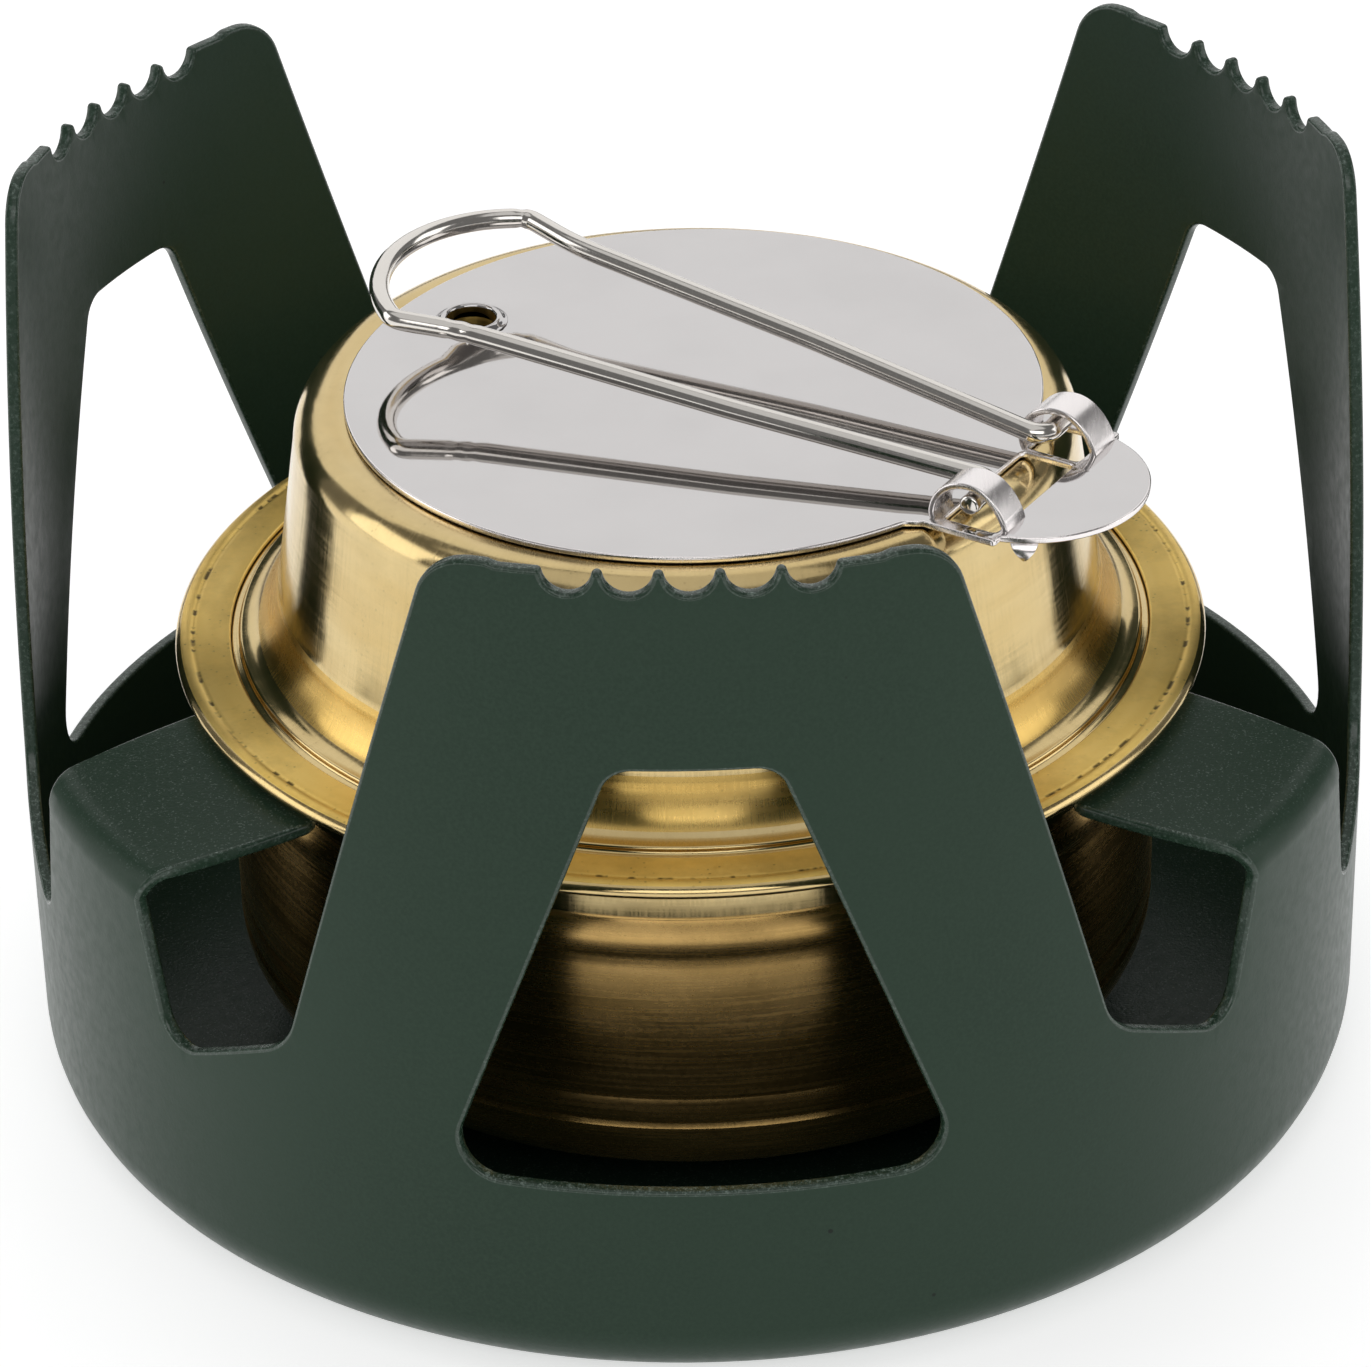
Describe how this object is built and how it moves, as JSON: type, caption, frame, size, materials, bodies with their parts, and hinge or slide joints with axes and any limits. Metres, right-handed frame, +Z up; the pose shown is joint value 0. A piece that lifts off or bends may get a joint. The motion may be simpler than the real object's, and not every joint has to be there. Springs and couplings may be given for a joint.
{
  "type": "alcohol spirit stove",
  "caption": "Compact spirit stove: brass burner with simmer ring, pivoting steel plate and folding wire handle, held in a sheet steel pot stand with scalloped uprights.",
  "frame": {"origin": "centre of the pot stand's underside, on the stand's and the burner's common axis", "axes": "+Z up along the burner's axis; -Y towards the upright at the front, so its window faces -Y; the other two uprights stand at 30 and 150 degrees from +X towards +Y"},
  "size_m": [0.1, 0.1, 0.066],
  "materials": {
    "stand_green": "satin dark green baked coating with a fine grain",
    "brass_spun": "spun and polished, with fine turning marks",
    "brass_dull": "plain drawn brass, unpolished",
    "wick_fibre": "loose woven mineral fibre",
    "steel_polished": "bright rolled stainless sheet with a few handling marks",
    "steel_wire": "bright drawn steel wire"
  },
  "bodies": {
    "stand": {"pot_stand": "stand_green"},
    "burner": {"burner_cup": "brass_spun", "burner_collar": "brass_spun", "vapour_sleeve": "brass_dull", "wick_band": "wick_fibre"},
    "ring": {"simmer_ring": "brass_spun", "pivot_eyelet": "steel_polished"},
    "plate": {"simmer_plate": "steel_polished"},
    "handle": {"wire_handle": "steel_wire"}
  },
  "joints": [
    {"name": "burner_lift", "type": "slide", "parent": "stand", "child": "burner", "axis": [0, 0, 1], "range_m": [0, 0.06]},
    {"name": "ring_lift", "type": "slide", "parent": "burner", "child": "ring", "axis": [0, 0, 1], "range_m": [0, 0.04]},
    {"name": "plate_swing", "type": "hinge", "parent": "ring", "child": "plate", "pos_m": [-0.01575, 0.01062, 0.0532], "axis": [0, 0, 1], "range_deg": [-55, 55]},
    {"name": "handle_fold", "type": "hinge", "parent": "plate", "child": "handle", "pos_m": [0.02341, -0.01481, 0.0543], "axis": [0.515, 0.8572, 0], "range_deg": [-4, 110]}
  ]
}
